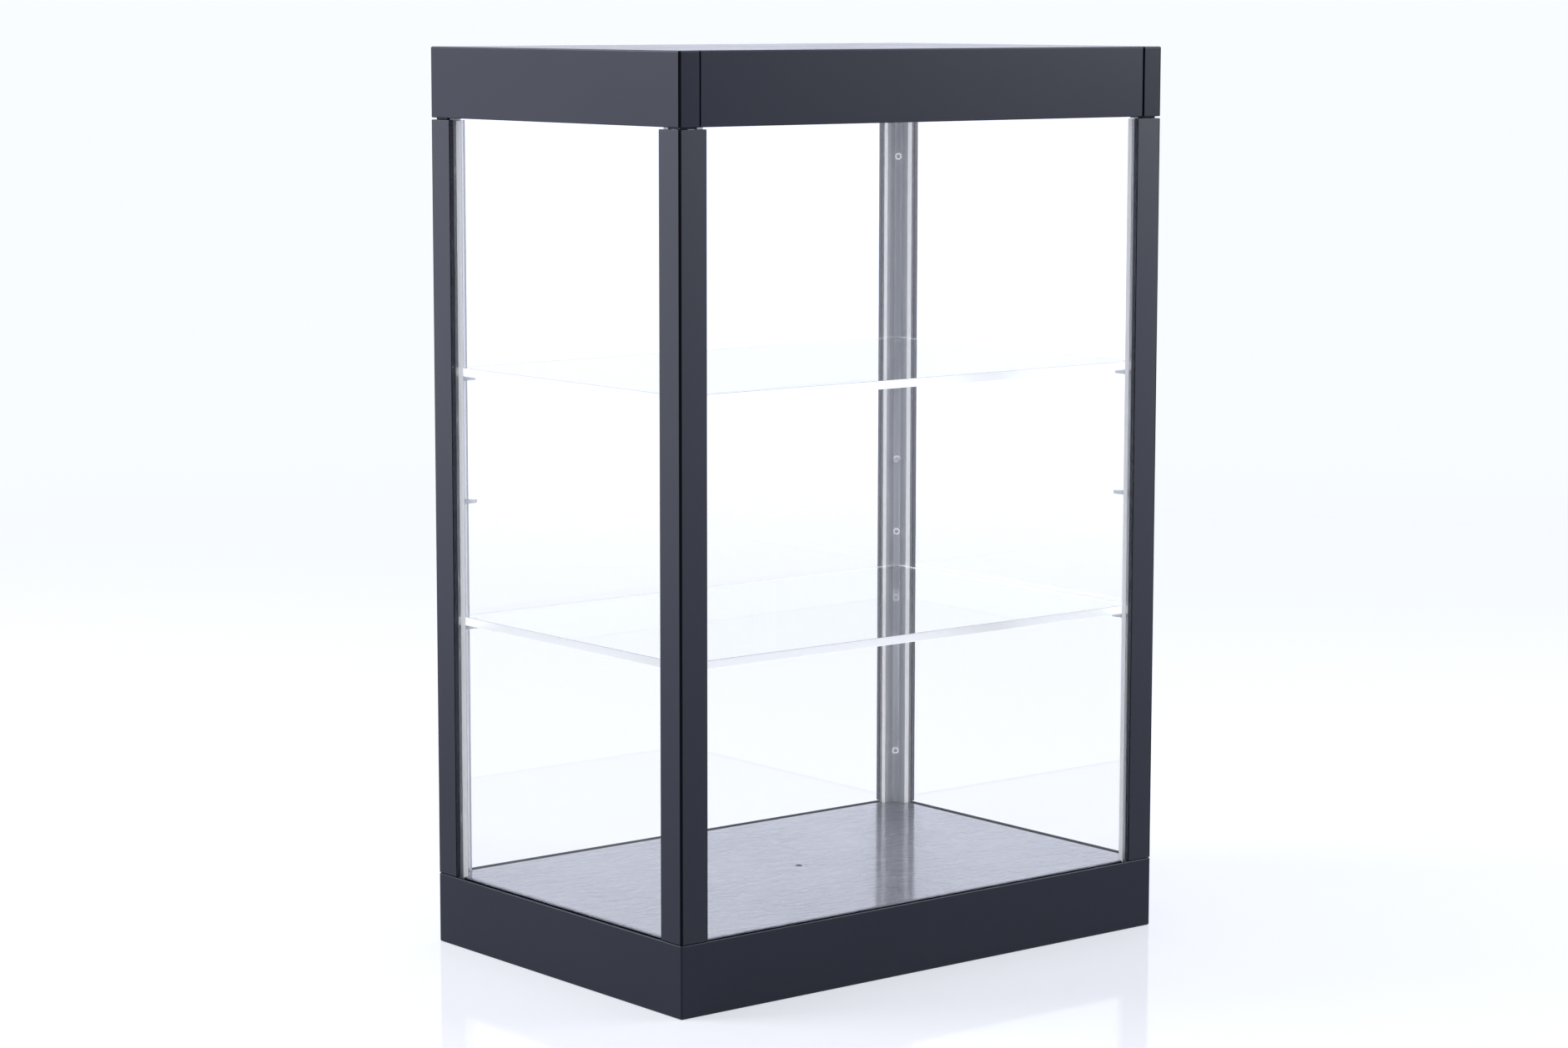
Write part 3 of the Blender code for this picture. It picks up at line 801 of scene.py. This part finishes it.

# Shelves
# Two loose plates of thicker clear sheet with cut corners, which lie on the lugs of the strips. Their
# lightly polished edges get a faint painted glow, which stands in for the light that the sheet guides out
# to them.
shelf_finish = clear_plastic(
    "clear_shelf_sheet", (0.985, 0.997, 0.992), clearness=1.0, roughness=(0.0, 0.02), flow_depth=0.000001
)
shelf_edge = clear_plastic(
    "sawn_shelf_edge", (0.99, 1.0, 0.995), clearness=1.0, roughness=(0.5, 0.6), flow_depth=0.00001
)
paint_edge_glow(shelf_edge, (0.97, 1.0, 0.93), 0.24)
guide_light(shelf_finish)
guide_light(shelf_edge)
shelf_edge_radius = 0.00025
for node, body in (("shelf_lower", "lower_shelf"), ("shelf_upper", "upper_shelf")):
    shelf = round_edges(cad_copy(node), shelf_edge_radius)
    give_finishes(shelf, shelf_finish, shelf_edge)
    for face in shelf.data.polygons:
        face.material_index = int(abs(face.normal.z) < square_on)
    fasten(shelf, node, body)

# Header
# One black plastic moulding. Its closed flat top has the grain of the display floor. Its faces that face
# forward, the corner blocks beside the door's fascia, get a less reflective copy of its finish, painted
# shade that makes them darker, and its rounded upright corners get plain black as painted shade. Necks
# under its corners stand on the posts.
side_finish = satin_black("header_satin_black", roughness=0.34, ior=1.48)
top_finish = drawn_finish(
    "header_top_black", coat=0.4, dark=(0.012, 0.016, 0.030), pale=(0.04, 0.045, 0.065)
)
# A less reflective copy of the side finish: painted shade for the faces that face forward.
front_shaded_finish = satin_black("header_front_shaded_black", roughness=0.34, ior=1.38)
quite_flat = 0.99
top_tolerance = 1e-4
header = round_edges(cad_copy("header"), black_edge_radius)
give_finishes(header, side_finish, top_finish, painted_shade_black, front_shaded_finish)
header_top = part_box("header")[1].z
for face in header.data.polygons:
    if face.normal.z > quite_flat and header_top - face.center.z < top_tolerance:
        face.material_index = 1
    elif face.normal.y < -quite_flat:
        face.material_index = 3
# The rounded upright corners get the plain black of painted shade.
paint_corner_shade(header, 2)
fasten(header, "header", "case_frame")

# Door fascia
# The black plastic front plate of the header. It is fixed to the front wall's upper edge and slides up
# with it.
fascia = round_edges(cad_copy("door_fascia"), black_edge_radius)
give_finishes(fascia, satin_black("fascia_satin_black", roughness=0.34, ior=1.42))
fasten(fascia, "door_fascia", "front_door")

bpy.context.view_layer.update()
